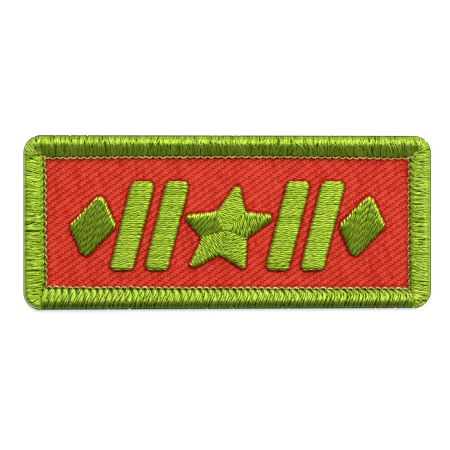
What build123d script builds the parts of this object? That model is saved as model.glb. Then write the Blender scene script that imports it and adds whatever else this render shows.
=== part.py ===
from build123d import *
import math
import os

# An embroidered name patch, lying flat on its back, face up. All sizes are millimetres.
# +X runs along the line of embroidery, +Y points to the patch's top edge and +Z leaves the face.
# The origin is the middle of the length and of the left end's height, on the plane it rests on.
# The line of embroidery is a plain ornament: a star between pairs of slanted bars, with a lozenge
# at each end.

# Outline. The right end is a little shorter than the left one, as sewn.
patch_length = 89.0
left_end_height = 38.0
right_end_top_drop = 0.15
right_end_bottom_rise = 0.4
corner_radius = 3.7

# Wound border. Widths are measured inward from the outline.
border_thickness = 3.0
border_width = 4.9
border_under_width = 4.5
border_crest_start = 2.2
border_crown_round = 1.6
border_heel_round = 1.1
border_lip_rise = 0.45

# Twill ground, whose edge is wrapped by the border.
twill_thickness = 1.2
twill_height_above_rest = 0.6
twill_edge_inset = 1.0
wrap_clearance = 0.05

# Raised satin figures. Widths are measured along X, before the slant.
figure_height = 19.3
figure_rise = 0.95
figure_edge_round = 0.6
figure_corner_round = 1.1
star_tip_extra_round = 0.12
figure_seat_gap = 0.05
figure_row_drop = 0.8
slant_deg = 14.4
bar_width = 5.0
bar_gap = 2.6
star_height = 19.8
star_waist_share = 0.47
star_side_gap = 0.3
lozenge_width = 10.2
lozenge_height = 14.5
lozenge_side_gap = 1.0

# Inner slope of the border from its crest to its lip: how far across, and how far down.
inner_slope = (
    # across, down
    (0.00, 0.00),
    (0.40, 0.20),
    (0.75, 0.55),
    (1.00, 1.00),
)

twill_top = twill_height_above_rest + twill_thickness
STAR_POINTS = 5


def sharp_outline(inset):
    """The patch's outline moved inward by inset, with square corners."""
    half_length = patch_length / 2
    half_height = left_end_height / 2
    corners = [
        (-half_length, -half_height),
        (half_length, -half_height + right_end_bottom_rise),
        (half_length, half_height - right_end_top_drop),
        (-half_length, half_height),
    ]
    face = make_face(Polyline(*corners, close=True))
    if inset:
        face = offset(face, amount=-inset, kind=Kind.INTERSECTION)
    return face


def rounded_outline(inset):
    """The patch's outline moved inward by inset, with its round corners."""
    face = sharp_outline(inset)
    return fillet(face.vertices(), corner_radius - inset)


def slab(face, bottom, top):
    """A flat-sided solid of this outline between two heights."""
    return extrude(Pos(0, 0, bottom) * face, amount=top - bottom, dir=(0, 0, 1))


def twill_ground():
    """The stiffened twill cloth, a flat sheet with its edge inside the border."""
    return slab(rounded_outline(twill_edge_inset), twill_height_above_rest, twill_top)


def border_blank():
    """The border's outer shape as a solid pad, round along its outer edge."""
    pad = slab(rounded_outline(0), 0, border_thickness)
    pad = fillet(pad.faces().sort_by(Axis.Z)[-1].edges(), border_crown_round)
    return fillet(pad.faces().sort_by(Axis.Z)[0].edges(), border_heel_round)


def face_window():
    """What the border leaves open on the face: a square-cornered window whose sides slope out."""
    lip_height = twill_top + border_lip_rise
    slope_width = border_width - border_crest_start
    slope_drop = border_thickness - lip_height
    sections = [
        Pos(0, 0, border_thickness - down * slope_drop)
        * sharp_outline(border_crest_start + across * slope_width)
        for across, down in reversed(inner_slope)
    ]
    window = slab(sharp_outline(border_width), twill_height_above_rest, lip_height)
    return window + loft(sections)


def merrowed_border():
    """The wound edge, one ring that wraps the twill's edge above, outside and below."""
    slot = slab(
        rounded_outline(twill_edge_inset - wrap_clearance),
        twill_height_above_rest - wrap_clearance,
        twill_top + wrap_clearance,
    )
    back_window = slab(sharp_outline(border_under_width), 0, twill_height_above_rest)
    return border_blank() - face_window() - slot - back_window


def slanted(points, row_x):
    """These points of a figure, leaned over by the slant and placed at row_x along the row."""
    lean = math.tan(math.radians(slant_deg))
    return [(row_x + x + y * lean, y - figure_row_drop) for x, y in points]


def figure(points, row_x, corner_round):
    """A raised pad of satin stitches with this outline, rounded at its corners and upper edge."""
    face = make_face(Polyline(*slanted(points, row_x), close=True))
    face = fillet(face.vertices(), corner_round)
    pad = slab(face, twill_top + figure_seat_gap, twill_top + figure_rise)
    return fillet(pad.faces().sort_by(Axis.Z)[-1].edges(), figure_edge_round)


def bar_points():
    half_width = bar_width / 2
    half_height = figure_height / 2
    return [
        (-half_width, -half_height),
        (half_width, -half_height),
        (half_width, half_height),
        (-half_width, half_height),
    ]


def lozenge_points():
    half_width = lozenge_width / 2
    half_height = lozenge_height / 2
    return [(0, -half_height), (half_width, 0), (0, half_height), (-half_width, 0)]


def star_points():
    """A five-pointed star, standing on two points, centred on its height."""
    step = math.pi / STAR_POINTS
    tip_radius = star_height / (1 + math.cos(step))
    centre_y = -tip_radius * (1 - math.cos(step)) / 2
    points = []
    for i in range(2 * STAR_POINTS):
        radius = tip_radius if i % 2 == 0 else tip_radius * star_waist_share
        turn = math.pi / 2 + i * step
        points.append((radius * math.cos(turn), centre_y + radius * math.sin(turn)))
    return points


def row_places():
    """How far each kind of figure stands from the middle of the row, working outward."""
    star_half_width = max(x for x, _ in star_points())
    inner_bar = star_half_width + star_side_gap + bar_width / 2
    outer_bar = inner_bar + bar_width + bar_gap
    lozenge = outer_bar + bar_width / 2 + lozenge_side_gap + lozenge_width / 2
    return inner_bar, outer_bar, lozenge


def figures():
    """Each raised figure of the row, by node name, from left to right."""
    inner_bar, outer_bar, lozenge = row_places()
    star_tip_round = figure_edge_round + star_tip_extra_round
    made = {"satin_star": figure(star_points(), 0, star_tip_round)}
    for side, sign in (("left", -1), ("right", 1)):
        made[f"satin_bar_inner_{side}"] = figure(bar_points(), sign * inner_bar, figure_corner_round)
        made[f"satin_bar_outer_{side}"] = figure(bar_points(), sign * outer_bar, figure_corner_round)
        made[f"satin_lozenge_{side}"] = figure(lozenge_points(), sign * lozenge, figure_corner_round)
    return made


os.makedirs("parts", exist_ok=True)
nodes = {"twill_ground": twill_ground(), "merrowed_border": merrowed_border()}
nodes.update(figures())
for name, solid in nodes.items():
    export_step(solid, f"parts/{name}.step")
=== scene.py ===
import math

import bmesh
import bpy
import numpy as np
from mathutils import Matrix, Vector
from mathutils.kdtree import KDTree


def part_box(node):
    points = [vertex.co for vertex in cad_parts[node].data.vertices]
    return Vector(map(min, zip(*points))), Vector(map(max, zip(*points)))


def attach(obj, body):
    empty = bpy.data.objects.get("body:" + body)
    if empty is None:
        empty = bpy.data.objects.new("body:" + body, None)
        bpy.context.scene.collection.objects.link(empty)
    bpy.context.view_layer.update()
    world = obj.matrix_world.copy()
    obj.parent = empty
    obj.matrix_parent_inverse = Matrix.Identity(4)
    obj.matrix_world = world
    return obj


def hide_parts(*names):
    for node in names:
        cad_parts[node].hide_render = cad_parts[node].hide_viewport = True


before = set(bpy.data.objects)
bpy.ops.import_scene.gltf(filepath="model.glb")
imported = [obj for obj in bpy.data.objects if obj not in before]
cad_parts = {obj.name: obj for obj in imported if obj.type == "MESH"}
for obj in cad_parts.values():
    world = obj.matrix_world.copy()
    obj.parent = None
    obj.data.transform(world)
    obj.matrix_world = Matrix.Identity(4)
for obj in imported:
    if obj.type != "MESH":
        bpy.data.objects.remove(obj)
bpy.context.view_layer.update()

# An embroidered name patch, lying on its back on a white light table and seen from straight above.
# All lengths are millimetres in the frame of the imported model, and MM turns them into metres.
MM = 0.001

# The photograph's frame, and where the patch lies in it.
photo_side_px = 450
patch_length_px = 406.8
patch_middle_px = (227.3, 222.4)

# Outline of the patch, whose right end is a little shorter than its left one.
left_half_height = 19.0
right_end_top_drop = 0.15
right_end_bottom_rise = 0.4
corner_radius = 3.7

# Section of the wound border: how far in it reaches, how high the strands lie at the outline and how far
# below the crest beside the twill, and how round its lower edge is.
border_width = 4.9
border_edge_height = 1.3
border_inner_drop = 1.02
heel_round = 1.1

# Seeds of the random draws, so that every run of this script makes the same patch.
border_seed = 11
chain_seed = 31
satin_seed = 200
twill_seed = 5

# Every thread tapers at its two ends to this share of its thickness, and its mottle is this far from that
# of a thread a whole tone away, so that no two are mottled alike.
thread_end_share = 0.55
mottle_apart = 97
# How deep the relief of a thread's filaments is.
fibre_relief = 0.06

# The border's yarn. Each stitch is one loosely twisted tuft of strands that leave the same needle hole, and
# the holes are a little unevenly spaced.
stitch_pitch = 1.5
hole_scatter = 0.05
strand_thickness = 0.26
# How far the strands' middles stand proud of the outline, where they bulge round the cut edge.
edge_bulge = 0.07
# Painted shade down the sides of each thread, where it lies against the next one.
strand_side_shade = 0.18
# No strand's tone is paler than this, apart from the painted highlight at its tips.
strand_tone_limit = 0.56
# Shares of a strand's way out from its needle hole to the outer edge: where it has come up out of the hole,
# where the hole's painted shade ends, where the edge's painted shade is full and where the patch's side
# wall starts.
hole_reach = 0.06
hole_shade_reach = 0.25
edge_shade_full = 0.94
wall_from = 0.98
# The shares at which it has its points, on the border's face and then back along its underside.
strand_face = (0.0, 0.02, 0.05, 0.09, 0.15, 0.22, 0.29, 0.36, 0.44, 0.52, 0.60, 0.68, 0.76)
strand_face += (0.84, 0.91, 0.96, 1.0)
strand_back = (0.96, 0.85, 0.55, 0.12)
# Over the last share of its way out its tuft's twist is pressed flat, and from pressed_from on the strand
# itself is pressed wider, where it is pulled tight round the cut edge.
twist_flat = 0.15
pressed_from = 0.85
pressed_over = 0.12
pressed_wider = 0.6

# The chain of loops that ties the stitches down along the needle line: how high a loop arches, its length
# in stitches, its thickness as a share of its width, and how far above the twill its middle line starts.
chain_lift = 0.28
chain_reach = 1.05
chain_flatness = 0.85
chain_bed = 0.1

# Satin thread, 40 weight: two plies twisted together.
satin_pitch = 0.42
satin_width = 0.54
satin_thickness = 0.40
# Real plies turn once in about 1.5 mm. These turn more slowly, so that each one shows as a fleck.
satin_ply_turn = 3.6
# Painted light on the lobes and painted shade in the furrows between them, on threads as far as they lie
# along the light.
satin_ply_shade = 0.38
# A lobe of a twisted thread is no lighter than this: only the tips have the paler painted highlight.
lobe_tone_limit = 0.54
# How far the two lobes swell the thread's section.
ply_swell = 0.25
# The threads lie close, and their sides have painted shade. Light doesn't reach down between those that lie
# along it, so their painted side shade, the second of these, is deeper than that of threads that lie across
# it.
satin_side_shade = (0.08, 0.5)
# The tone of its dyed colour, the painted shade on a thread that lies along the light, how much paler its
# tips can be as a painted highlight, and how far from the needle hole they stay so before they darken over
# the same length again.
satin_tone = 0.40
satin_upright_shade = 0.06
satin_tip = 0.55
satin_tip_reach = 0.6
# A thread's points lie this far apart, its needle holes stand to either side of the row by turns, and its
# end reaches this far into a hole that two rows share.
satin_ring_step = 0.16
satin_zigzag = 0.04
satin_shared_reach = 0.16
# A stitch starts this far below the twill's highest yarns and comes up over its shoulder, sooner by the
# shared lift at a hole that two rows share. Its height is part shoulder and part crown.
satin_sink = 0.08
satin_shoulder = 0.8
satin_shared_lift = 0.6
satin_shoulder_share = 0.78
satin_crown_share = 0.22
# The padding's top lies this far below the stitches' middle lines.
padding_depth = 0.17
# How far the stitches of the lozenges lean from the upright.
slant_deg = 14.4

# Twill weave, two picks over and one under. The warp leans to the left as it goes up.
warp_pitch = 0.69
pick_pitch = 0.445
warp_lean_deg = 8.3
weave_relief = 0.31
# The twill is cut this far inside the outline, at its ends and at its sides.
twill_cut = (1.6, 1.7)
# How far the stitches of a figure pull the twill down, and the share of that for the border's stitches.
pull_depth = 0.2
border_pull = 0.35
# The tone of its dyed colour, how much paler the weave's highest places are painted, a painted light that
# leaves painted shade in its grooves, and the painted shade, a painted contact shadow, where stitches pull
# it down.
twill_tone = 0.43
height_light = 0.62
pull_shade = 0.9


def node_box(node):
    """A node's lowest and highest corners."""
    low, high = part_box(node)
    return np.array(low) / MM, np.array(high) / MM


half_length, _, border_top = node_box("merrowed_border")[1]
twill_bottom, twill_top = (corner[2] for corner in node_box("twill_ground"))
satin_nodes = sorted(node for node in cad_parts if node.startswith("satin_"))


def smooth(share):
    """0 to 1 with a gentle start and end."""
    share = np.clip(share, 0, 1)
    return share * share * (3 - 2 * share)


def unit(vectors):
    """These vectors at a length of 1."""
    return vectors / np.maximum(np.linalg.norm(vectors, axis=-1, keepdims=True), 1e-9)


def left_of(direction):
    """The direction a quarter turn to the left of this one, in plan."""
    return np.array([-direction[1], direction[0]])


def lengths_along(points):
    """The length along a line to each of its points."""
    return np.concatenate([[0], np.cumsum(np.linalg.norm(np.diff(points, axis=0), axis=1))])


def points_at(spots, lengths, points):
    """Where a line is at these lengths along it, given its points and the length to each."""
    return np.stack([np.interp(spots, lengths, column) for column in points.T], axis=-1)


# Materials

def linear(hex_colour):
    """An sRGB hex colour as Blender's linear colour."""
    channels = [int(hex_colour[i : i + 2], 16) / 255 for i in (1, 3, 5)]
    return tuple(c / 12.92 if c <= 0.04045 else ((c + 0.055) / 1.055) ** 2.4 for c in channels) + (1,)


def add_node(material, kind, settings=None, inputs=None):
    """Adds a node to a material, with its own settings, and its inputs as values or as outputs to link."""
    made = material.node_tree.nodes.new(kind)
    for name, value in (settings or {}).items():
        setattr(made, name, value)
    for name, value in (inputs or {}).items():
        if isinstance(value, bpy.types.NodeSocket):
            material.node_tree.links.new(value, made.inputs[name])
        else:
            made.inputs[name].default_value = value
    return made


def new_material(name):
    """An empty node material of this name, and nothing else in it."""
    material = bpy.data.materials.new(name)
    material.use_nodes = True
    material.node_tree.nodes.clear()
    return material


def finish_material(material, look):
    """The material, with a surface that has these inputs."""
    surface = add_node(material, "ShaderNodeBsdfPrincipled", inputs=look)
    add_node(material, "ShaderNodeOutputMaterial", inputs={"Surface": surface.outputs["BSDF"]})
    return material


def mottled_dye_and_light(material, stops, scale, detail, roughness, amount):
    """A fine mottle, and a colour ramp that follows the tone of the yarn and the mottle from stop to stop,
    each a place on it and a colour. The tone holds both the yarn's own differences and painted light and
    shade."""
    tone = add_node(material, "ShaderNodeAttribute", {"attribute_name": "tone"})
    place = add_node(material, "ShaderNodeAttribute", {"attribute_name": "place"})
    scaled = {"Vector": place.outputs["Vector"], "Scale": scale}
    mottle_at = add_node(material, "ShaderNodeMapping", inputs=scaled)
    noise = {"Vector": mottle_at.outputs["Vector"], "Scale": 1.0, "Detail": detail, "Roughness": roughness}
    mottle = add_node(material, "ShaderNodeTexNoise", inputs=noise)
    blend = add_node(
        material,
        "ShaderNodeMath",
        {"operation": "MULTIPLY_ADD"},
        {0: mottle.outputs["Fac"], 1: amount, 2: tone.outputs["Fac"]},
    )
    dye_and_light = add_node(material, "ShaderNodeValToRGB", inputs={"Fac": blend.outputs["Value"]})
    for stop, (position, hex_colour) in zip(dye_and_light.color_ramp.elements, (stops[0], stops[-1])):
        stop.position = position
        stop.color = linear(hex_colour)
    for position, hex_colour in stops[1:-1]:
        dye_and_light.color_ramp.elements.new(position).color = linear(hex_colour)
    return mottle, dye_and_light


def thread_material(name, colours, gloss, roughness, mottle):
    """Thread of bright polyester filaments, dyed and twisted.
    Much of its gloss has gone through the dyed filaments and has their colour, as the metallic share and
    the tint give. Each strand has a tone of its own, mottled along its fine filaments, which also break up
    the gloss. Its tone also holds painted light and painted shade. The tips, where it bends into a needle
    hole, are painted paler as a painted highlight. The colours are those of its painted shade, its body,
    its painted light side and its painted highlight at the tips."""
    material = new_material(name)
    stops = tuple(zip((0.05, 0.55, 0.88, 1.0), colours))
    filaments, dye_and_light = mottled_dye_and_light(
        material, stops, scale=(8.0, 0.9, 1.0), detail=3.0, roughness=0.6, amount=mottle
    )
    bump = add_node(
        material,
        "ShaderNodeBump",
        inputs={"Height": filaments.outputs["Fac"], "Strength": 0.6, "Distance": fibre_relief * MM},
    )
    look = {
        "Base Color": dye_and_light.outputs["Color"],
        "Normal": bump.outputs["Normal"],
        "Metallic": 0.68,
        "Roughness": roughness,
        "IOR": 1.57,
        "Specular Tint": linear(gloss),
    }
    return finish_material(material, look)


def filler_material():
    """The same yarn under the strands, painted dark as painted shade, since little light reaches down
    between the strands. Its tone is higher near the outer edge, where it lies closer to the surface."""
    material = new_material("border_filler_painted_shade")
    stops = ((0.0, "#222E04"), (1.0, "#6C860E"))
    _, dye_and_light = mottled_dye_and_light(material, stops, scale=(2.5, 2.5, 2.5), detail=2.0, roughness=0.5, amount=0.5)
    look = {
        "Base Color": dye_and_light.outputs["Color"],
        "Roughness": 0.8,
        "IOR": 1.57,
        "Specular IOR Level": 0.2,
    }
    return finish_material(material, look)


def twill_material():
    """Polyester twill, piece-dyed and stiffened. Its floats catch the light one by one, each a slightly
    different red, with painted light on their highest places and painted shade between the yarns and where
    the stitches pull it down."""
    material = new_material("dyed_polyester_twill")
    stops = ((0.1, "#AA1606"), (0.6, "#C82C16"), (1.0, "#D8442E"))
    filaments, dye_and_light = mottled_dye_and_light(
        material, stops, scale=(9.0, 1.4, 1.0), detail=2.0, roughness=0.5, amount=0.35
    )
    bump = add_node(
        material,
        "ShaderNodeBump",
        inputs={"Height": filaments.outputs["Fac"], "Strength": 0.4, "Distance": 0.02 * MM},
    )
    look = {
        "Base Color": dye_and_light.outputs["Color"],
        "Normal": bump.outputs["Normal"],
        "Roughness": 0.6,
        "IOR": 1.5,
        "Specular IOR Level": 0.15,
    }
    return finish_material(material, look)


def light_table_material():
    """White acrylic sheet lit from below, which takes most of the shadow away."""
    material = new_material("white_acrylic_light_table")
    look = {
        "Base Color": linear("#F7F7F5"),
        "Roughness": 0.9,
        "Emission Color": linear("#FFFFFF"),
        "Emission Strength": 0.55,
    }
    return finish_material(material, look)


border_yarn = thread_material(
    "polyester_border_yarn",
    ("#2E4602", "#7C9E0C", "#AEC64A", "#DAE49C"),
    gloss="#E8F2BC",
    roughness=0.25,
    mottle=0.5,
)
chain_yarn = thread_material(
    "polyester_chain_yarn",
    ("#806428", "#C0A25C", "#E2C888", "#F0E0A8"),
    gloss="#F0E0A8",
    roughness=0.40,
    mottle=0.5,
)
satin_thread = thread_material(
    "polyester_satin_thread",
    ("#284402", "#84A618", "#B2CC42", "#D2A850"),
    gloss="#E4ECAC",
    roughness=0.27,
    mottle=0.6,
)
border_filler = filler_material()


# Meshes

class Bundle:
    """Faces gathered for one piece. Each vertex has a tone, and a place that the material's mottle follows,
    such as round and along its thread."""

    def __init__(self):
        self.vertices = []
        self.faces = []
        self.tones = []
        self.places = []
        self.count = 0

    def add(self, vertices, faces, tones, places):
        """Adds vertices, and faces that number them from 0."""
        self.faces += [[self.count + i for i in face] for face in faces]
        self.vertices.append(vertices)
        self.tones.append(np.broadcast_to(tones, len(vertices)))
        self.places.append(places)
        self.count += len(vertices)

    def piece(self, name, material):
        """The gathered faces as one smooth piece."""
        mesh = bpy.data.meshes.new(name)
        mesh.from_pydata(np.concatenate(self.vertices) * MM, [], self.faces)
        mesh.polygons.foreach_set("use_smooth", np.ones(len(mesh.polygons), bool))
        tone = mesh.attributes.new("tone", "FLOAT", "POINT")
        tone.data.foreach_set("value", np.concatenate(self.tones).astype(np.float32))
        place = mesh.attributes.new("place", "FLOAT_VECTOR", "POINT")
        place.data.foreach_set("vector", np.concatenate(self.places).astype(np.float32).ravel())
        mesh.materials.append(material)
        made = bpy.data.objects.new(name, mesh)
        bpy.context.scene.collection.objects.link(made)
        return made


def add_threads(
    bundle, centres, sides, widths, thicknesses, tones, side_shade,
    section=5, ply_turn=None, ply_shade=0.0, phase=0.0,
):
    """Adds closed tubes along lines of the same number of points: centres and sides are arrays of
    thread, point and x y z. The side is across the thread, along the surface that it lies on. Tones are
    one for each thread, or one for each of its points, and fall by the side shade, a painted shade, down a
    thread's sides. With a ply turn, the section has two lobes that twist once round in that length. They
    are painted lighter than the furrows between them by twice the ply shade, up to the lobes' limit:
    painted light on the lobes and painted shade in the furrows."""
    count, rings = centres.shape[:2]
    tangents = unit(np.gradient(centres, axis=1))
    sides = unit(sides - tangents * np.sum(sides * tangents, axis=-1, keepdims=True))
    lifts = np.cross(tangents, sides)
    steps = np.linalg.norm(np.diff(centres, axis=1), axis=-1)
    along = np.concatenate([np.zeros((count, 1)), np.cumsum(steps, axis=1)], axis=1)
    turns = np.arange(section) / section
    angles = 2 * math.pi * (turns - 0.25)
    lobes = np.zeros((count, rings, section))
    if ply_turn:
        lobe_turn = 2 * math.pi * along / ply_turn + phase
        lobes = np.cos(2 * (angles - lobe_turn[..., None]))
    swell = 1 + ply_swell * lobes
    ends = np.ones(rings)
    ends[[0, -1]] = thread_end_share
    half_widths = np.broadcast_to(widths, (count, rings)) * ends / 2
    half_lifts = np.broadcast_to(thicknesses, (count, rings)) * ends / 2
    rim = (
        centres[:, :, None]
        + sides[:, :, None] * (half_widths[..., None] * swell * np.cos(angles))[..., None]
        + lifts[:, :, None] * (half_lifts[..., None] * swell * np.sin(angles))[..., None]
    )
    first = (np.arange(count)[:, None] * rings + np.arange(rings)[None]) * section
    ring_quads = np.array(
        [(k, (k + 1) % section, section + (k + 1) % section, section + k) for k in range(section)]
    )
    faces = (first[:, :-1, None, None] + ring_quads).reshape(-1, 4).tolist()
    faces += (first[:, 0, None] + np.arange(section)[::-1]).tolist()
    faces += (first[:, -1, None] + np.arange(section)).tolist()
    tones = np.asarray(tones).reshape(count, -1, 1)
    places = np.stack(
        [
            np.broadcast_to(turns, rim.shape[:3]),
            np.broadcast_to(along[..., None], rim.shape[:3]),
            np.broadcast_to(tones[:, -1:] * mottle_apart, rim.shape[:3]),
        ],
        axis=-1,
    )
    lit = np.minimum(tones + ply_shade * lobes, np.maximum(tones, lobe_tone_limit))
    tones = lit + side_shade * (np.sin(angles) - 1)
    bundle.add(rim.reshape(-1, 3), faces, tones.ravel(), places.reshape(-1, 3))


def ring_strip(first_start, second_start, count):
    """Quads that join two closed rings of the same count."""
    k = np.arange(count)
    after = (k + 1) % count
    return np.stack([first_start + k, first_start + after, second_start + after, second_start + k], axis=1)


def grid(columns, rows):
    """The numbers of a grid's points, its quads, and the numbers round its rim."""
    index = np.arange(columns * rows).reshape(columns, rows)
    quads = np.stack([index[:-1, :-1], index[1:, :-1], index[1:, 1:], index[:-1, 1:]], axis=-1)
    rim = np.concatenate([index[:-1, 0], index[-1, :-1], index[:0:-1, -1], index[0, :0:-1]])
    return index, quads.reshape(-1, 4), rim


def rim_wall(rim, start):
    """Quads from a grid's rim down to a copy of its points, which is numbered from start."""
    count = len(rim)
    numbers = np.concatenate([rim, start + np.arange(count)])
    return numbers[ring_strip(0, count, count)][:, ::-1].tolist()


# Outline of the patch

def top_edge(x):
    """How far up the top edge is, at a place along the patch."""
    return left_half_height - right_end_top_drop * (x + half_length) / (2 * half_length)


def bottom_edge(x):
    """How far up the bottom edge is, at a place along the patch."""
    return -left_half_height + right_end_bottom_rise * (x + half_length) / (2 * half_length)


def inset(x, y):
    """How far points lie inside the patch's outline."""
    from_end = half_length - np.abs(x)
    from_side = np.minimum(top_edge(x) - y, y - bottom_edge(x))
    round_part = corner_radius - np.hypot(corner_radius - from_end, corner_radius - from_side)
    in_corner = (from_end < corner_radius) & (from_side < corner_radius)
    return np.where(in_corner, round_part, np.minimum(from_end, from_side))


def trace_outline():
    """The patch's outer edge, anticlockwise from the lower right corner: points, and the length to each."""
    points = []
    for end, side, start_deg in ((1, -1, -90), (1, 1, 0), (-1, 1, 90), (-1, -1, 180)):
        edge = top_edge(end * half_length) if side > 0 else bottom_edge(end * half_length)
        centre = np.array([end * (half_length - corner_radius), edge - side * corner_radius])
        for turn in np.radians(start_deg + np.linspace(0, 90, 31)):
            points.append(centre + corner_radius * np.array([math.cos(turn), math.sin(turn)]))
    points = np.array(points + points[:1])
    return points, lengths_along(points)


outline_points, outline_lengths = trace_outline()
outline_length = outline_lengths[-1]


def edge_at(length):
    """The points of the outer edge at these lengths along it."""
    return points_at(np.mod(length, outline_length), outline_lengths, outline_points)


def edge_place(point):
    """The length along the outer edge that is nearest to a point."""
    lengths = np.linspace(0, outline_length, 20000, endpoint=False)
    return lengths[np.argmin(np.linalg.norm(edge_at(lengths) - np.array(point), axis=1))]


# The wound border

# Key stitches of each run of the border: between them the stitches are spaced evenly.
# The right run starts at the bottom edge, and its last stitches meet the first of the top run. The left run
# too goes down to the bottom edge before the bottom run starts.
border_runs = {
    "right": (
        # needle x, needle y, edge x, edge y
        (40.5, -18.4, 41.2, -18.6),
        (40.3, -17.2, 43.0, -18.0),
        (40.1, -15.6, 44.3, -16.3),
        (39.9, -14.1, 44.5, -14.5),
        (39.8, -12.0, 44.5, -12.2),
        (39.8, 13.6, 44.5, 13.9),
        (40.0, 16.3, 43.7, 17.3),
    ),
    "top": (
        (43.9, 16.8, 43.8, 17.2),
        (43.0, 16.0, 42.2, 18.6),
        (41.4, 15.1, 40.3, 18.9),
        (39.9, 14.3, 39.0, 18.9),
        (37.0, 14.1, 36.6, 18.9),
        (25.0, 14.35, 24.8, 18.9),
        (0.0, 14.5, 0.0, 18.9),
        (-28.0, 14.4, -28.1, 19.0),
        (-38.5, 14.2, -38.6, 19.0),
        (-40.4, 14.6, -41.8, 18.9),
        (-41.8, 14.5, -43.7, 17.5),
        (-43.0, 14.3, -44.5, 15.7),
        (-43.6, 13.7, -44.5, 14.6),
    ),
    "left": (
        (-40.3, 15.1, -44.2, 17.0),
        (-40.05, 12.0, -44.5, 12.6),
        (-40.0, 2.0, -44.5, 2.0),
        (-39.85, -13.0, -44.5, -13.3),
        (-40.3, -15.2, -44.4, -15.8),
        (-40.5, -17.0, -43.2, -18.0),
        (-40.6, -18.6, -41.2, -18.9),
    ),
    "bottom": (
        (-40.2, -14.7, -40.7, -19.0),
        (-39.6, -14.45, -39.8, -19.0),
        (-20.0, -14.6, -20.0, -18.9),
        (0.0, -14.65, 0.0, -18.8),
        (38.6, -14.7, 38.6, -18.6),
        (40.1, -14.9, 40.5, -18.6),
    ),
}
# How each run was wound, one value for each: right, top, left and bottom. Lengths are in millimetres, and
# the way out is a strand's way from the needle hole to the outer edge.
winding = {
    # How far inside the outline the border stands highest, and how far it sinks at a needle hole.
    "crest": (1.7, 2.1, 0.90, 1.5),
    "hole_depth": (0.35, 0.35, 0.35, 0.12),
    # A tuft's width at its hole, a share of its full width, and the share of the way out where it is full.
    "gather": (0.35, 0.90, 0.30, 0.36),
    "spread_by": (0.25, 0.30, 0.28, 0.45),
    # A tuft's full half width, a share of the stitch pitch, and how far its strands stand above its middle.
    "overlap": (0.72, 0.85, 0.70, 0.62),
    "loft": (0.07, 0.12, 0.07, 0.17),
    # How far a tuft moves along the run on its way out, at the run's start and end, and how uneven that is.
    "lean": ((0.3, -1.0), (0.2, -0.1), (1.6, 0.1), (-0.3, 1.6)),
    "scatter": (0.10, 0.10, 0.12, 0.10),
    # How far single strands stray to either side, and the share of the way out where they start to.
    "cross": (0.50, 0.95, 0.42, 0.12),
    "cross_from": (0.10, 0.15, 0.10, 0.10),
    # How far round a tuft twists on its way out, how uneven that is, and how soon the twist slows down.
    "turns": ((0.10, 0.06), (0.05, 0.06), (0.08, 0.05), (0.55, 0.02)),
    "settle": (1.0, 1.0, 1.0, 1.2),
    # The chain's loops: how far they reach over the twill, how pale and how thick they are, and how many
    # stitches at the run's start and end show none.
    "bow": (0.48, 0.46, 0.55, 0.55),
    "loop_tone": (0.28, 0.28, 0.40, 0.50),
    "loop_width": (0.27, 0.34, 0.34, 0.42),
    "bare": ((1, 1), (2, 2), (0, 2), (0, 0)),
    # The strands in a tuft, how much their heights differ, and how wide each is.
    "strands": (13, 13, 12, 9),
    "loose": (0.025, 0.055, 0.02, 0.03),
    "strand_width": (0.42, 0.36, 0.46, 0.35),
    # The mean tone of the strands, whose differences from run to run are painted light and shade for how
    # each side lies to the light, and how much it differs at random; and the painted shade at the bottom of
    # a tuft.
    "dye_and_light": ((0.54, 0.06), (0.50, 0.12), (0.46, 0.05), (0.64, 0.08)),
    "low_shade": (0.10, 0.10, 0.13, 0.34),
    # How much painted shade darkens it towards the outer edge and from which share of the way out, and how
    # much painted shade it has on the edge itself and underneath.
    "edge_shade": (0.56, 0.66, 0.52, 0.80),
    "shade_from": (0.84, 0.88, 0.92, 0.66),
    "wall_shade": (0.36, 0.28, 0.44, 0.48),
    # The painted shade towards the needle hole, and how much paler its tip in the hole is, a painted
    # highlight.
    "hole_shade": (0.40, 0.10, 0.30, 0.10),
    "tip": (0.40, 0.0, 0.45, 0.40),
}


# How far in from the outline the filler under the strands reaches, and its section: from its inner lip over
# the top and round the edge to its underside, then back along the twill. Each point is a share of the way
# from the filler's inner edge to the patch's outer edge, and a height.
filler_reach = 4.85
filler_section = (
    # share out, height
    (0.00, 1.86),
    (0.12, 1.88),
    (0.30, 2.03),
    (0.50, 2.28),
    (0.70, 2.32),
    (0.86, 1.95),
    (0.96, 1.45),
    (0.99, 1.20),
    (0.98, 0.90),
    (0.90, 0.45),
    (0.75, 0.20),
    (0.15, 0.18),
    (0.15, 0.50),
    (0.78, 0.50),
    (0.80, 1.20),
    (0.78, 1.84),
    (0.00, 1.84),
)


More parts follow.
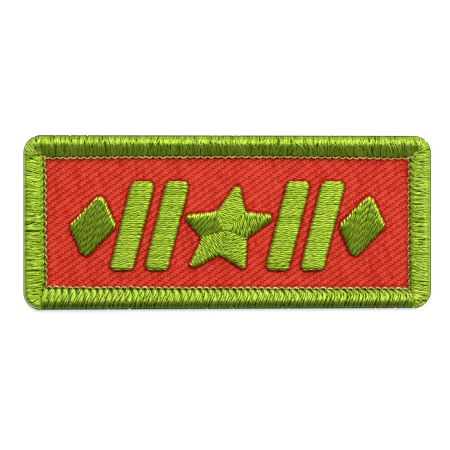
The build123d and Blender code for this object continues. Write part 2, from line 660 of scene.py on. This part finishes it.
class BorderRun:
    """A stretch of the border. Places on it are a length along it and a share of the way out from the
    needle line, 0, to the outer edge, 1."""

    def __init__(self, name):
        keys = np.array(border_runs[name])
        self.needles = keys[:, :2]
        places = [edge_place(key[2:]) for key in keys]
        self.edges = np.unwrap(places, period=outline_length)
        steps = np.linalg.norm(np.diff(self.needles, axis=0), axis=1) + np.abs(np.diff(self.edges))
        self.lengths = np.concatenate([[0], np.cumsum(steps / 2)])
        self.length = self.lengths[-1]
        self.stitches = round(self.length / stitch_pitch)
        self.pitch = self.length / self.stitches
        which = list(border_runs).index(name)
        self.winding = {key: values[which] for key, values in winding.items()}

    def plan(self, length, out):
        """The points at these lengths and shares, in plan."""
        needle = points_at(length, self.lengths, self.needles)
        edge_length = np.interp(length, self.lengths, self.edges)
        past = length - np.clip(length, 0.0, self.length)
        edge = edge_at(edge_length)
        ahead = unit(edge_at(edge_length + 0.05) - edge_at(edge_length - 0.05))
        inward = np.stack([-ahead[..., 1], ahead[..., 0]], axis=-1)
        edge = edge - inward * edge_bulge
        at_start = self.needles[1] - self.needles[0]
        at_end = self.needles[-1] - self.needles[-2]
        onward = unit(np.where(past[..., None] < 0, at_start, at_end))
        return needle + (edge - needle) * out[..., None] + onward * past[..., None]

    def ahead(self, length, out):
        """The direction along the run at these places."""
        step = self.plan(length + 0.05, out) - self.plan(length - 0.05, out)
        return np.concatenate([unit(step), np.zeros(step.shape[:-1] + (1,))], axis=-1)


def border_face_height(depth, crest):
    """The height of a strand's middle on the border's face, at a distance inside the outline."""
    top = border_top - strand_thickness / 2
    reach = crest - strand_thickness / 2
    crown = np.sqrt(1 - np.clip((crest - depth) / reach, 0, 1) ** 2)
    across = np.clip((depth - crest) / (border_width - crest), 0, 1.2)
    outer = border_edge_height + (top - border_edge_height) * crown
    return np.where(depth < crest, outer, top - border_inner_drop * across**1.15)


def border_back_height(depth):
    """The height of a strand's middle on the border's underside."""
    reach = heel_round - strand_thickness / 2
    from_heel = np.clip(heel_round - depth, 0, reach)
    return heel_round - np.sqrt(reach**2 - from_heel**2)


def wander(rng, count, amount, every):
    """A slow random drift along a row of this many stitches, with a turning point every few of them."""
    knots = rng.normal(0, amount, math.ceil(count / every) + 2)
    return np.interp(np.arange(count) / every, np.arange(len(knots)), knots)


def border_strands(run, seed):
    """Middle lines, sides and tones of a run's strands: from the needle hole up over the crest, round the
    outer edge and back underneath. The strands of a tuft turn about its middle line as one loose twist."""
    rng = np.random.default_rng(seed)
    wound = run.winding
    outs = np.array(strand_face + strand_back)
    on_back = np.arange(len(outs)) >= len(strand_face)
    tufts, count = run.stitches, wound["strands"]
    hole = (np.arange(tufts) + 0.5) * run.pitch + rng.normal(0, hole_scatter, tufts)
    # The lean drifts along the run, and each strand's own differs a little.
    drift = wander(rng, tufts, amount=wound["scatter"] * 1.5, every=5)
    lean = np.linspace(*wound["lean"], tufts) + drift
    lean = lean[:, None] + rng.normal(0, wound["scatter"], (tufts, count))
    spread = np.where(on_back, 1, np.sin(math.pi / 2 * np.clip(outs / wound["spread_by"], 0, 1)))
    strayed = smooth((outs - wound["cross_from"]) / (1 - wound["cross_from"]))
    stray = rng.normal(0, wound["cross"], (tufts, count, 1)) * strayed
    middle = hole[:, None, None] + lean[..., None] * spread + stray
    half_width = run.pitch * wound["overlap"] * (wound["gather"] + (1 - wound["gather"]) * spread)
    start = np.arange(count) / count + rng.random((tufts, 1)) + rng.normal(0, 0.02, (tufts, count))
    turns = rng.normal(*wound["turns"], (tufts, count, 1))
    turned = (1 - np.exp(-wound["settle"] * outs)) / (1 - math.exp(-wound["settle"]))
    twist = 2 * math.pi * (start[..., None] + turns * turned)
    lengths = (middle + half_width * 2 / math.pi * np.arcsin(np.cos(twist))).reshape(-1, len(outs))
    # Strands that would pass the run's ends are squeezed together there.
    squeezed = 0.3 * rng.random((len(lengths), 1))
    lengths = np.clip(lengths, squeezed, run.length - squeezed)
    outs = np.broadcast_to(outs, lengths.shape)

    plan = run.plan(lengths, outs)
    depth = inset(plan[..., 0], plan[..., 1])
    low = 1 - np.sin(twist).reshape(lengths.shape)
    sag = wound["loft"] * low * smooth((1 - outs) / twist_flat)
    dive = wound["hole_depth"] * (1 - smooth(outs / hole_reach))
    loose = rng.normal(0, wound["loose"], (len(lengths), 1)) * np.sin(math.pi * outs)
    face_height = border_face_height(depth, wound["crest"]) - sag - dive + loose
    heights = np.where(on_back, border_back_height(depth), face_height)
    centres = np.concatenate([plan, heights[..., None]], axis=-1)
    # Each strand has a tone of its own; the mean differs from run to run as painted light and shade.
    tones = np.clip(rng.normal(*wound["dye_and_light"], (len(lengths), 1)), 0.0, strand_tone_limit)
    # Only the tips that bend down beside the twill are painted paler, a painted highlight.
    beside_twill = smooth((depth[:, :1] - border_width + 0.6) / 0.4)
    tones = tones + wound["tip"] * beside_twill * (1 - smooth((outs - 0.02) / 0.08)) * ~on_back
    # Painted shade towards the outer edge, on the edge and underneath, and towards the needle hole.
    shade_from = wound["shade_from"]
    near_edge = wound["edge_shade"] * smooth((outs - shade_from) / (edge_shade_full - shade_from))
    tones = tones - np.where(on_back | (outs > wall_from), wound["wall_shade"], near_edge)
    tones = tones - wound["hole_shade"] * (1 - smooth(outs / hole_shade_reach)) * ~on_back
    # Painted shade on the strands at the bottom of a tuft.
    tones = tones - wound["low_shade"] * low / 2
    return centres, run.ahead(lengths, outs), tones


def border_piece(name, run_name, seed):
    """The yarn of one run of the border."""
    run = BorderRun(run_name)
    centres, sides, tones = border_strands(run, seed)
    bundle = Bundle()
    pressed = smooth((np.array(strand_face + strand_back) - pressed_from) / pressed_over)
    widths = run.winding["strand_width"] * (1 + pressed_wider * pressed)
    add_threads(bundle, centres, sides, widths, strand_thickness, tones, strand_side_shade)
    made = bundle.piece(name, border_yarn)
    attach(made, "root")
    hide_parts("merrowed_border")


def border_filling():
    """The yarn packed under the strands that show: one ring that wraps the edge of the twill."""
    stations = 480
    outer = edge_at(outline_length * np.arange(stations) / stations)
    x = np.clip(outer[:, 0], filler_reach - half_length, half_length - filler_reach)
    y = np.clip(outer[:, 1], filler_reach - left_half_height, left_half_height - filler_reach)
    inner = np.column_stack([x, y])
    vertices, tones = [], []
    for out, height in filler_section:
        vertices.append(np.column_stack([inner + (outer - inner) * out, np.full(stations, height)]))
        # Painted shade, less of it towards the outer edge.
        tones.append(np.full(stations, 0.6 * smooth((out - 0.2) / 0.5)))
    rings = len(filler_section)
    quads = [ring_strip((k + 1) % rings * stations, k * stations, stations) for k in range(rings)]
    vertices = np.concatenate(vertices)
    bundle = Bundle()
    bundle.add(vertices, np.concatenate(quads), np.concatenate(tones), vertices)
    made = bundle.piece("border_filling", border_filler)
    # Its inner corners are sharp, so points that lie in one place there become one.
    solid = bmesh.new()
    solid.from_mesh(made.data)
    bmesh.ops.remove_doubles(solid, verts=solid.verts, dist=0.001 * MM)
    solid.to_mesh(made.data)
    solid.free()
    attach(made, "root")
    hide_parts("merrowed_border")


def border_chain():
    """The chain loops: each rises from one needle hole, bows over the twill and goes down in the next.
    They lie on the twill, and at the corners on the border."""
    bundle = Bundle()
    rng = np.random.default_rng(chain_seed)
    rise = np.linspace(0, 1, 9)
    on_twill = twill_top + chain_bed
    for name in border_runs:
        run = BorderRun(name)
        bare_start, bare_end = run.winding["bare"]
        stitches = np.arange(bare_start, run.stitches - 1 - bare_end)[:, None]
        starts = (stitches + 0.5) * run.pitch + rng.normal(0, 0.04, stitches.shape)
        lengths = starts + (rise - 0.5) * run.pitch * chain_reach + 0.5 * run.pitch
        bow = run.winding["bow"] * (1 + rng.normal(0, 0.12, stitches.shape))
        outs = 0.01 - bow * np.sin(math.pi * rise) / border_width
        plan = run.plan(lengths, outs)
        lift = chain_lift * np.sin(math.pi * rise) ** 0.5
        depth = inset(plan[..., 0], plan[..., 1])
        on_border = np.maximum(on_twill, border_face_height(depth, run.winding["crest"]) - 0.05)
        heights = np.where(depth < border_width - 1.2, on_border, on_twill) + lift
        centres = np.concatenate([plan, heights[..., None]], axis=-1)
        tangents = unit(np.gradient(centres, axis=1))
        sides = np.cross(np.broadcast_to((0, 0, 1.0), tangents.shape), tangents)
        tones = rng.normal(run.winding["loop_tone"], 0.1, len(stitches))
        loop_width = run.winding["loop_width"]
        thickness = loop_width * chain_flatness
        add_threads(bundle, centres, sides, loop_width, thickness, tones, strand_side_shade)
    made = bundle.piece("border_chain", chain_yarn)
    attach(made, "root")


# The satin figures

def underside_loop(node):
    """The outline of a node's flat underside, as points in order."""
    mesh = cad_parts[node].data
    points = np.array([v.co for v in mesh.vertices]) / MM
    low = points[:, 2].min() + 0.001
    keys = [tuple(np.round(p[:2], 4)) for p in points]
    edges = {}
    for face in mesh.polygons:
        if all(points[i, 2] < low for i in face.vertices):
            corners = [keys[i] for i in face.vertices]
            for a, b in zip(corners, corners[1:] + corners[:1]):
                if (b, a) in edges:
                    del edges[(b, a)]
                else:
                    edges[(a, b)] = True
    onward = {a: b for a, b in edges}
    loop = [next(iter(onward))]
    while onward[loop[-1]] != loop[0]:
        loop.append(onward[loop[-1]])
    return np.array(loop)


def crossings(loop, origin, direction):
    """Where a line meets an outline, as lengths along the line, in order."""
    across = left_of(direction)
    offsets = (loop - origin) @ across
    lengths = (loop - origin) @ direction
    after, lengths_after = np.roll(offsets, -1), np.roll(lengths, -1)
    met = (offsets > 0) != (after > 0)
    share = offsets[met] / (offsets[met] - after[met])
    return np.sort(lengths[met] + share * (lengths_after[met] - lengths[met]))


def centre_of(loop):
    """The middle of an outline's area."""
    after = np.roll(loop, -1, axis=0)
    cross = loop[:, 0] * after[:, 1] - after[:, 0] * loop[:, 1]
    return ((loop + after) * cross[:, None]).sum(axis=0) / (3 * cross.sum())


def within(loop, place):
    """Whether a place is inside an outline, not on it. Stitches of two rows share such a hole."""
    edge = np.roll(loop, -1, axis=0) - loop
    share = np.clip(np.sum((place - loop) * edge, axis=1) / np.sum(edge**2, axis=1), 0, 1)
    return np.linalg.norm(loop + edge * share[:, None] - place, axis=1).min() > 0.1


def straight_spans(loop, direction_deg):
    """Satin stitches side by side across an outline: start, end and distance from the row's nearer end."""
    turn = math.radians(direction_deg)
    direction = np.array([math.cos(turn), math.sin(turn)])
    across = left_of(direction)
    reach = loop @ across
    spots = np.arange(reach.min() + satin_pitch * 0.6, reach.max() - satin_pitch * 0.3, satin_pitch)
    spans = []
    for spot in spots:
        origin = across * spot
        met = crossings(loop, origin, direction)
        if len(met) >= 2:
            from_end = min(spot - reach.min(), reach.max() - spot)
            spans.append((origin + direction * met[0], origin + direction * met[-1], from_end))
    return spans


def star_rows(loop):
    """Stitches across each of the star's arms, which meet on lines from its middle to its inner corners."""
    centre = centre_of(loop)
    ray_count = 1440
    turns = np.linspace(0, 2 * math.pi, ray_count, endpoint=False)
    rays = np.stack([np.cos(turns), np.sin(turns)], axis=1)
    reach = np.array([crossings(loop, centre, ray)[-1] for ray in rays])
    # A tip is the farthest, and an inner corner the nearest, in a sixteenth of a turn to either side.
    beside = ray_count // 16
    wide = np.stack([np.roll(reach, k) for k in range(-beside, beside + 1)])
    tips = np.flatnonzero(reach == wide.max(axis=0))
    inner = np.flatnonzero(reach == wide.min(axis=0))
    rows = []
    for tip in tips:
        spans = []
        axis = rays[tip]
        across = left_of(axis)
        before = rays[inner[inner < tip][-1]] if (inner < tip).any() else rays[inner[-1]]
        beyond = rays[inner[inner > tip][0]] if (inner > tip).any() else rays[inner[0]]
        low_slope = before @ across / (before @ axis)
        high_slope = beyond @ across / (beyond @ axis)
        for spot in np.arange(satin_pitch * 0.9, reach[tip] - satin_pitch * 0.4, satin_pitch):
            origin = centre + axis * spot
            met = crossings(loop, origin, across)
            low = max(spot * low_slope, met[met < 0][-1])
            high = min(spot * high_slope, met[met > 0][0])
            spans.append((origin + across * low, origin + across * high, reach[tip] - spot))
        rows.append(spans)
    return rows


def satin_height(loop, span, share, rise):
    """Height of a stitch above the twill: steep at its needle holes and crowned between them, with only a
    shallow dip at a hole that two rows share."""
    start, end, from_row_end = span
    length = np.linalg.norm(end - start)
    from_start = share * length + satin_shared_lift * within(loop, start)
    from_end = (1 - share) * length + satin_shared_lift * within(loop, end)
    from_hole = np.clip(np.minimum(from_start, from_end) / satin_shoulder, 0, 1)
    shoulder = np.sqrt(1 - (1 - from_hole) ** 2)
    crown = np.sin(math.pi * share)
    row_end = np.sqrt(1 - (1 - np.clip((from_row_end - 0.1) / satin_shoulder, 0.05, 1)) ** 2)
    return rise * (satin_shoulder_share * shoulder + satin_crown_share * crown) * row_end


def add_padding(bundle, loop, spans, rise):
    """The closed pad of thread under one row of satin stitches, which it follows from just below."""
    shares = np.array([0.01, 0.03, 0.07, 0.13, 0.22, 0.35, 0.5, 0.65, 0.78, 0.87, 0.93, 0.97, 0.99])
    top = []
    for span in spans:
        plan = span[0] + (span[1] - span[0]) * shares[:, None]
        height = satin_height(loop, span, shares, rise)
        top.append(np.column_stack([plan, twill_top - satin_sink + np.maximum(height - padding_depth, 0)]))
    top = np.concatenate(top)
    index, faces, rim = grid(len(spans), len(shares))
    under = top[rim] * (1, 1, 0) + (0, 0, twill_top - 0.2)
    side = np.cross(top[index[1, 0]] - top[0], top[index[0, 1]] - top[0])[2]
    all_faces = faces.tolist() + rim_wall(rim, len(top))
    all_faces.append((len(top) + np.arange(len(rim)))[::-1].tolist())
    # A grid that runs the other way round has its faces turned to look outward.
    if side < 0:
        all_faces = [face[::-1] for face in all_faces]
    vertices = np.concatenate([top, under])
    bundle.add(vertices, all_faces, 0.3, vertices)


def satin_piece(node, loop, rows, seed):
    """The satin stitches of one figure, over a padding of the same thread."""
    rng = np.random.default_rng(seed)
    rise = node_box(node)[1][2] - twill_top - satin_thickness / 2
    bundle = Bundle()
    for spans in rows:
        add_padding(bundle, loop, spans, rise)
    for i, span in enumerate(span for spans in rows for span in spans):
        start, end = span[:2]
        direction = unit(end - start)
        across = left_of(direction)
        shared = np.array([within(loop, place) for place in (start, end)])
        # A tip is painted paler where it bends down on the upper side, towards the light: a painted
        # highlight.
        tip_highlight = satin_tip * rng.uniform(0.5, 1, 2) * ~shared
        tips = tip_highlight[0] * max(0.1 - direction[1], 0), tip_highlight[1] * max(0.1 + direction[1], 0)
        slip = satin_zigzag if i % 2 else -satin_zigzag
        reach = np.where(shared, satin_shared_reach, rng.normal(0, 0.06, 2))
        start = start + across * (slip + rng.normal(0, 0.035)) - direction * reach[0]
        end = end + across * (rng.normal(0, 0.035) - slip) + direction * reach[1]
        share = np.concatenate([[0, 0.004], np.linspace(0.01, 0.99, 120), [0.996, 1]])
        sway = rng.normal(0, 0.03) * np.sin(2 * math.pi * (share * 0.8 + rng.random()))
        plan = start + (end - start) * share[:, None] + across * sway[:, None]
        height = twill_top - satin_sink + satin_height(loop, span, share, rise) + rng.normal(0, 0.010)
        line = np.column_stack([plan, height])
        along = lengths_along(line)
        rings = max(6, round(along[-1] / satin_ring_step))
        spots = np.linspace(0, along[-1], rings)
        centres = points_at(spots, along, line)
        sides = np.broadcast_to((across[0], across[1], 0.0), centres.shape)
        upright = abs(direction[1])
        # Painted shade on a thread as far as it lies along the light.
        tone = rng.normal(satin_tone - satin_upright_shade * upright, 0.05)
        tone = np.clip(tone, 0.2, 0.5) * np.ones(rings)
        for tip, from_hole in zip(tips, (spots, along[-1] - spots)):
            tone = tone + tip * (1 - smooth((from_hole - satin_tip_reach) / satin_tip_reach))
        add_threads(
            bundle,
            centres[None],
            sides[None],
            satin_width * (1 + rng.normal(0, 0.05)),
            satin_thickness,
            tone,
            np.interp(upright, (0, 1), satin_side_shade),
            section=8,
            ply_turn=satin_ply_turn * (1 + rng.normal(0, 0.08)),
            ply_shade=satin_ply_shade * upright,
            phase=rng.random() * 2 * math.pi,
        )
    made = bundle.piece(node + "_stitches", satin_thread)
    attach(made, "root")
    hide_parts(node)


def satin_figures():
    """The whole row: a star stitched arm by arm, lozenges stitched upwards and bars stitched across."""
    for i, node in enumerate(satin_nodes):
        loop = underside_loop(node)
        if "star" in node:
            rows = star_rows(loop)
        elif "lozenge" in node:
            rows = [straight_spans(loop, 90 - slant_deg)]
        else:
            rows = [straight_spans(loop, 0)]
        satin_piece(node, loop, rows, satin_seed + i)


# The twill ground

def weave_lines(reach, fine_reach, fine_step, coarse_step):
    """Grid lines from -reach to reach: fine where the cloth shows, coarse under the border."""
    fine_count = math.ceil(fine_reach / fine_step)
    fine = (np.arange(-fine_count, fine_count) + 0.5) * fine_step
    margin = np.linspace(fine[-1], reach, max(2, round((reach - fine[-1]) / coarse_step) + 1))[1:]
    return np.concatenate([-margin[::-1], fine, margin])


def weave_height(warp, pick):
    """Height of the weave's surface, from -1 to 1, at places counted in warp yarns and picks. Each float
    slants towards its ridge, parts from its neighbour towards its upper end, and is highest near its
    lower end."""
    float_slant = 0.47
    peak_shift = 0.4
    end_steepness = 6
    groove = -0.8
    pick_relief = 0.25
    yarn = np.floor(warp + 0.5)
    float_place = (np.mod(pick - yarn + 1.5, 3) - 1.5) / 1.5
    off = np.mod(warp - yarn - float_slant * float_place + 0.5, 1) - 0.5
    lie = np.abs(float_place + peak_shift * (1 - float_place**2))
    bow = np.cos(np.clip(lie, 0, 1) ** end_steepness * math.pi)
    body = 1 - np.clip(1 + float_place, 0, 1) * np.abs(2 * off)
    warp_height = groove + body * (bow - groove)
    pick_height = groove + pick_relief * np.cos(2 * math.pi * (pick - 0.5))
    return np.maximum(warp_height, pick_height)


def pulled_down(x, y):
    """How much the stitches pull the twill down, from 0 to 1, which also sets the painted shade there:
    beside each satin figure and along the border's needle line."""
    outlines = []
    for node in satin_nodes:
        loop = underside_loop(node)
        loop = np.concatenate([loop, loop[:1]])
        lengths = lengths_along(loop)
        outlines.append(points_at(np.arange(0, lengths[-1], 0.12), lengths, loop))
    outlines = np.concatenate(outlines)
    tree = KDTree(len(outlines))
    for i, point in enumerate(outlines):
        tree.insert((point[0], point[1], 0.0), i)
    tree.balance()
    near = np.array([tree.find((a, b, 0.0))[2] for a, b in zip(x.ravel(), y.ravel())]).reshape(x.shape)
    beside_figure = 1 - smooth((near - 0.25) / 0.4)
    within_border = smooth((inset(x, y) - border_width + 0.05) / 0.45)
    return np.maximum(beside_figure, border_pull - border_pull * within_border)


def twill_cloth():
    """The twill as one closed cloth, whose grid follows its weave."""
    rng = np.random.default_rng(twill_seed)
    lean = math.radians(warp_lean_deg)
    half_x, half_y = half_length - twill_cut[0], left_half_height - twill_cut[1]
    # The weave is drawn finely as far as it shows, and a little under the border.
    show_x = half_length - border_width + 0.4
    show_y = left_half_height - border_width + 0.4
    coarse = 0.8
    columns = weave_lines(half_x * math.cos(lean), show_x * math.cos(lean), warp_pitch / 4, coarse)
    rows = weave_lines(half_y, show_y, pick_pitch / 3, coarse)
    across, y = np.meshgrid(columns, rows, indexing="ij")
    straight = across / math.cos(lean)
    hidden = smooth((np.abs(straight) - show_x + 0.6) / (half_x - show_x + 0.6))
    x = straight - y * math.tan(lean) * (1 - hidden)
    warp = across / warp_pitch
    pick = y / pick_pitch
    yarn = np.floor(warp + 0.5).astype(int)
    float_number = np.floor((pick - yarn + 1.5) / 3).astype(int)
    # Each float draws its own fullness and tone from a table of floats by yarn. Yarns left of the middle
    # and floats below it have negative numbers, which are moved up into the table.
    float_table = (400, 120)
    table_yarn = yarn + 200
    table_float = float_number + 100 * (float_number < 0)
    fullness = rng.normal(1, 0.12, float_table)[table_yarn, table_float]
    height = weave_height(warp, pick) * fullness
    # The warp yarns waver a little on their way up.
    x = x + 0.03 * np.sin(y * 0.9 + 1.3 * np.sin(x * 0.21)) * (1 - hidden)
    pulled = pulled_down(x, y)
    surface = twill_top - weave_relief / 2 + height * weave_relief / 2 - pull_depth * pulled
    columns_count, rows_count = x.shape
    top = np.stack([x, y, surface], axis=-1).reshape(-1, 3)

    yarn_tone = rng.normal(0, 0.06, float_table[0])[table_yarn]
    float_tone = rng.normal(0, 0.16, float_table)[table_yarn, table_float]
    grain = rng.normal(0, 0.12, height.shape)
    # Painted light on the weave's highest places, painted shade in its grooves and where stitches pull it
    # down.
    tone = twill_tone + yarn_tone + float_tone + grain + height_light * height - pull_shade * pulled
    tone = np.clip(tone, -0.6, 1.4).ravel()
    places = np.stack([across / warp_pitch, y / pick_pitch, yarn * 0.37], axis=-1).reshape(-1, 3)

    bundle = Bundle()
    _, quads, rim = grid(columns_count, rows_count)
    bundle.add(top, quads, tone, places)
    add_cloth_back(bundle, top, rim, columns_count, rows_count)
    made = bundle.piece("twill_cloth", twill_material())
    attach(made, "root")
    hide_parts("twill_ground")


def add_cloth_back(bundle, top, rim, columns_count, rows_count):
    """The cloth's cut edge and its plain, flat back: one face for each column of the grid, and one at
    either end."""
    count = len(rim)
    start = bundle.count
    back = top[rim] * (1, 1, 0) + (0, 0, twill_bottom)
    far_row = 2 * (columns_count - 1) + rows_count - 1
    column = np.arange(1, columns_count - 2)
    across = np.stack([column, far_row - column, far_row - column - 1, column + 1], axis=1)
    left_end = [1, 0] + list(range(count - 1, far_row - 2, -1))
    right_end = list(range(far_row - columns_count + 2, columns_count - 3, -1))
    bundle.add(back, across, 0.4, back / (warp_pitch, pick_pitch, 1))
    bundle.faces += [[start + k for k in end] for end in (left_end, right_end)]
    bundle.faces += rim_wall(rim, start)


border_filling()
for i, run_name in enumerate(border_runs):
    border_piece("border_yarn_" + run_name, run_name, border_seed + i)
border_chain()
satin_figures()
twill_cloth()


# Floor, light and camera

def studio_floor():
    """A flat floor that fills the picture from a low side view too."""
    mesh = bpy.data.meshes.new("floor")
    reach = 4000.0 * MM
    below = -0.02 * MM
    corners = [(x * reach, y * reach, below) for x, y in ((-1, -1), (1, -1), (1, 1), (-1, 1))]
    mesh.from_pydata(corners, [], [(0, 1, 2, 3)])
    mesh.materials.append(light_table_material())
    floor = bpy.data.objects.new("floor", mesh)
    bpy.context.scene.collection.objects.link(floor)


def soft_box(name, place, width, height, power):
    """A long soft box at a place, aimed at the patch."""
    data = bpy.data.lights.new(name, "AREA")
    data.shape = "RECTANGLE"
    data.size = width * MM
    data.size_y = height * MM
    data.energy = power
    lamp = bpy.data.objects.new(name, data)
    lamp.location = Vector(place) * MM
    lamp.rotation_euler = (-lamp.location).to_track_quat("-Z", "Y").to_euler()
    bpy.context.scene.collection.objects.link(lamp)


def studio_light():
    """One large soft box above the picture's top edge, and a weak even fill from all round."""
    soft_box("key_soft_box", place=(160.0, 400.0, 450.0), width=1900.0, height=600.0, power=11.2)
    world = bpy.data.worlds.new("studio")
    world.use_nodes = True
    backdrop = world.node_tree.nodes["Background"]
    backdrop.inputs["Color"].default_value = linear("#FFFFFF")
    backdrop.inputs["Strength"].default_value = 0.22
    bpy.context.scene.world = world


def photo_camera():
    """A long lens straight above, which frames the patch as the photograph does."""
    data = bpy.data.cameras.new("photo_camera")
    data.lens = 85.0
    data.sensor_width = 36.0
    mm_per_px = 2 * half_length / patch_length_px
    view_width = photo_side_px * mm_per_px
    distance = view_width * data.lens / data.sensor_width
    off_x = (photo_side_px / 2 - patch_middle_px[0]) * mm_per_px
    off_y = (patch_middle_px[1] - photo_side_px / 2) * mm_per_px
    camera = bpy.data.objects.new("photo_camera", data)
    camera.location = Vector((off_x, off_y, border_top / 2 + distance)) * MM
    data.clip_start = 0.01
    data.clip_end = 10.0
    bpy.context.scene.collection.objects.link(camera)
    bpy.context.scene.camera = camera


studio_floor()
studio_light()
photo_camera()
bpy.context.scene.view_settings.view_transform = "Standard"
